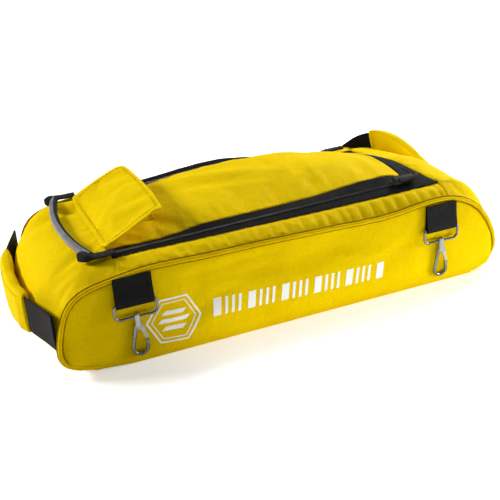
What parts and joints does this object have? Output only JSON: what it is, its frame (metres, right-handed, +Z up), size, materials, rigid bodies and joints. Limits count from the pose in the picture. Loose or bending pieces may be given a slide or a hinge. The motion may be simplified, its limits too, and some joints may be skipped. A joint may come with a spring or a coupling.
{
  "type": "clip-on bowling shoe bag",
  "caption": "Soft loaf-shaped shoe bag that clips on top of a bowling ball roller: U-zip lid, hook-and-loop flap, tube pull handle, padded end handles and swivel snap hooks.",
  "frame": {"origin": "centre of the flat bottom face", "axes": "+X along the bag from the lid's hinged end to its free end, -Y towards the front panel, +Z up"},
  "size_m": [0.5588, 0.2538, 0.1362],
  "materials": {
    "yellow_fabric": "600 denier polyester, plain weave, light sheen",
    "yellow_piping": "fabric-covered piping cord",
    "black_webbing": "flat polypropylene webbing",
    "zip_tape": "woven zip tape",
    "zip_coil": "nylon coil",
    "slider_metal": "black painted zinc",
    "nickel": "nickel-plated zinc, satin",
    "tube_grip": "soft grey plastic tube",
    "board": "black polyethylene board",
    "hook_loop": "hook-and-loop tape"
  },
  "bodies": {
    "shell": {"front_panel": "yellow_fabric", "back_panel": "yellow_fabric", "bottom_panel": "yellow_fabric", "base_board": "board", "end_gusset_left": "yellow_fabric", "end_gusset_right": "yellow_fabric", "gusset_strip_front": "yellow_fabric", "gusset_strip_back": "yellow_fabric", "piping_front": "yellow_piping", "piping_back": "yellow_piping", "zip_tape_body": "zip_tape", "zip_coil_body": "zip_coil", "zip_end_stops": "slider_metal"},
    "lid": {"lid_panel": "yellow_fabric", "zip_tape_lid": "zip_tape", "zip_coil_lid": "zip_coil", "lid_loop_patch": "hook_loop"},
    "flap": {"flap_panel": "yellow_fabric", "flap_hook_patch": "hook_loop"},
    "pull_handle": {"pull_handle_tube": "tube_grip", "pull_handle_webbing": "black_webbing"},
    "end_handle_left": {"end_handle_webbing_left": "black_webbing", "end_handle_grip_left": "yellow_fabric"},
    "end_handle_right": {"end_handle_webbing_right": "black_webbing", "end_handle_grip_right": "yellow_fabric"},
    "slider_front": {"slider_front": "slider_metal"},
    "slider_back": {"slider_back": "slider_metal"},
    "slider_pull_front": {"slider_pull_front": "slider_metal"},
    "slider_pull_back": {"slider_pull_back": "slider_metal"},
    "strap_front_left": {"clip_strap_front_left": "black_webbing"},
    "loop_front_left": {"clip_loop_front_left": "nickel"},
    "hook_front_left": {"hook_body_front_left": "nickel", "swivel_rivet_front_left": "nickel", "gate_pin_front_left": "nickel"},
    "gate_front_left": {"hook_gate_front_left": "nickel"},
    "strap_front_right": {"clip_strap_front_right": "black_webbing"},
    "loop_front_right": {"clip_loop_front_right": "nickel"},
    "hook_front_right": {"hook_body_front_right": "nickel", "swivel_rivet_front_right": "nickel", "gate_pin_front_right": "nickel"},
    "gate_front_right": {"hook_gate_front_right": "nickel"},
    "strap_back_left": {"clip_strap_back_left": "black_webbing"},
    "loop_back_left": {"clip_loop_back_left": "nickel"},
    "hook_back_left": {"hook_body_back_left": "nickel", "swivel_rivet_back_left": "nickel", "gate_pin_back_left": "nickel"},
    "gate_back_left": {"hook_gate_back_left": "nickel"},
    "strap_back_right": {"clip_strap_back_right": "black_webbing"},
    "loop_back_right": {"clip_loop_back_right": "nickel"},
    "hook_back_right": {"hook_body_back_right": "nickel", "swivel_rivet_back_right": "nickel", "gate_pin_back_right": "nickel"},
    "gate_back_right": {"hook_gate_back_right": "nickel"}
  },
  "joints": [
    {"name": "lid_hinge", "type": "hinge", "parent": "shell", "child": "lid", "pos_m": [-0.184, 0, 0.106], "axis": [0, 1, 0], "range_deg": [-100, 0]},
    {"name": "flap_hinge", "type": "hinge", "parent": "lid", "child": "flap", "pos_m": [-0.18006, 0, 0.10869], "axis": [0, -1, 0], "range_deg": [-11, 108]},
    {"name": "pull_handle_hinge", "type": "hinge", "parent": "shell", "child": "pull_handle", "pos_m": [-0.183, 0, 0.1085], "axis": [0, -1, 0], "range_deg": [-35, 0]},
    {"name": "end_handle_left_hinge", "type": "hinge", "parent": "shell", "child": "end_handle_left", "pos_m": [-0.2526, 0, 0.069], "axis": [0, 1, 0], "range_deg": [0, 60]},
    {"name": "end_handle_right_hinge", "type": "hinge", "parent": "shell", "child": "end_handle_right", "pos_m": [0.2343, -0.0045, 0.08875], "axis": [0.1627, -0.9733, -0.1622], "range_deg": [0, 30]},
    {"name": "slider_front_slide", "type": "slide", "parent": "lid", "child": "slider_front", "axis": [-0.9998, 0, -0.0217], "range_m": [0, 0.3]},
    {"name": "slider_pull_front_hinge", "type": "hinge", "parent": "slider_front", "child": "slider_pull_front", "pos_m": [0.13979, -0.0849, 0.11934], "axis": [0, -1, 0], "range_deg": [0, 110]},
    {"name": "slider_back_slide", "type": "slide", "parent": "lid", "child": "slider_back", "axis": [-0.9998, 0, -0.0217], "range_m": [0, 0.3]},
    {"name": "slider_pull_back_hinge", "type": "hinge", "parent": "slider_back", "child": "slider_pull_back", "pos_m": [0.13979, 0.0849, 0.11934], "axis": [0, -1, 0], "range_deg": [0, 110]},
    {"name": "strap_front_left_swing", "type": "hinge", "parent": "shell", "child": "strap_front_left", "pos_m": [-0.174, -0.1227, 0.0945], "axis": [-1, 0, 0], "range_deg": [0, 75]},
    {"name": "loop_front_left_swing", "type": "hinge", "parent": "strap_front_left", "child": "loop_front_left", "pos_m": [-0.174, -0.1236, 0.0676], "axis": [-1, 0, 0], "range_deg": [0, 80]},
    {"name": "hook_front_left_swivel", "type": "hinge", "parent": "loop_front_left", "child": "hook_front_left", "pos_m": [-0.174, -0.1236, 0.0525], "axis": [0, 0, 1], "range_deg": [-10, 10]},
    {"name": "gate_front_left_hinge", "type": "hinge", "parent": "hook_front_left", "child": "gate_front_left", "pos_m": [-0.1706, -0.1236, 0.0399], "axis": [0, 1, 0], "range_deg": [0, 25], "stiffness_Nm_per_rad": 0.002},
    {"name": "strap_front_right_swing", "type": "hinge", "parent": "shell", "child": "strap_front_right", "pos_m": [0.174, -0.1227, 0.0945], "axis": [-1, 0, 0], "range_deg": [0, 75]},
    {"name": "loop_front_right_swing", "type": "hinge", "parent": "strap_front_right", "child": "loop_front_right", "pos_m": [0.174, -0.1236, 0.0676], "axis": [-1, 0, 0], "range_deg": [0, 80]},
    {"name": "hook_front_right_swivel", "type": "hinge", "parent": "loop_front_right", "child": "hook_front_right", "pos_m": [0.174, -0.1236, 0.0525], "axis": [0, 0, 1], "range_deg": [-10, 10]},
    {"name": "gate_front_right_hinge", "type": "hinge", "parent": "hook_front_right", "child": "gate_front_right", "pos_m": [0.1774, -0.1236, 0.0399], "axis": [0, 1, 0], "range_deg": [0, 25], "stiffness_Nm_per_rad": 0.002},
    {"name": "strap_back_left_swing", "type": "hinge", "parent": "shell", "child": "strap_back_left", "pos_m": [-0.174, 0.1227, 0.0945], "axis": [1, 0, 0], "range_deg": [0, 75]},
    {"name": "loop_back_left_swing", "type": "hinge", "parent": "strap_back_left", "child": "loop_back_left", "pos_m": [-0.174, 0.1236, 0.0676], "axis": [1, 0, 0], "range_deg": [0, 80]},
    {"name": "hook_back_left_swivel", "type": "hinge", "parent": "loop_back_left", "child": "hook_back_left", "pos_m": [-0.174, 0.1236, 0.0525], "axis": [0, 0, 1], "range_deg": [-10, 10]},
    {"name": "gate_back_left_hinge", "type": "hinge", "parent": "hook_back_left", "child": "gate_back_left", "pos_m": [-0.1774, 0.1236, 0.0399], "axis": [0, -1, 0], "range_deg": [0, 25], "stiffness_Nm_per_rad": 0.002},
    {"name": "strap_back_right_swing", "type": "hinge", "parent": "shell", "child": "strap_back_right", "pos_m": [0.174, 0.1227, 0.0945], "axis": [1, 0, 0], "range_deg": [0, 75]},
    {"name": "loop_back_right_swing", "type": "hinge", "parent": "strap_back_right", "child": "loop_back_right", "pos_m": [0.174, 0.1236, 0.0676], "axis": [1, 0, 0], "range_deg": [0, 80]},
    {"name": "hook_back_right_swivel", "type": "hinge", "parent": "loop_back_right", "child": "hook_back_right", "pos_m": [0.174, 0.1236, 0.0525], "axis": [0, 0, 1], "range_deg": [-10, 10]},
    {"name": "gate_back_right_hinge", "type": "hinge", "parent": "hook_back_right", "child": "gate_back_right", "pos_m": [0.1706, 0.1236, 0.0399], "axis": [0, -1, 0], "range_deg": [0, 25], "stiffness_Nm_per_rad": 0.002}
  ]
}
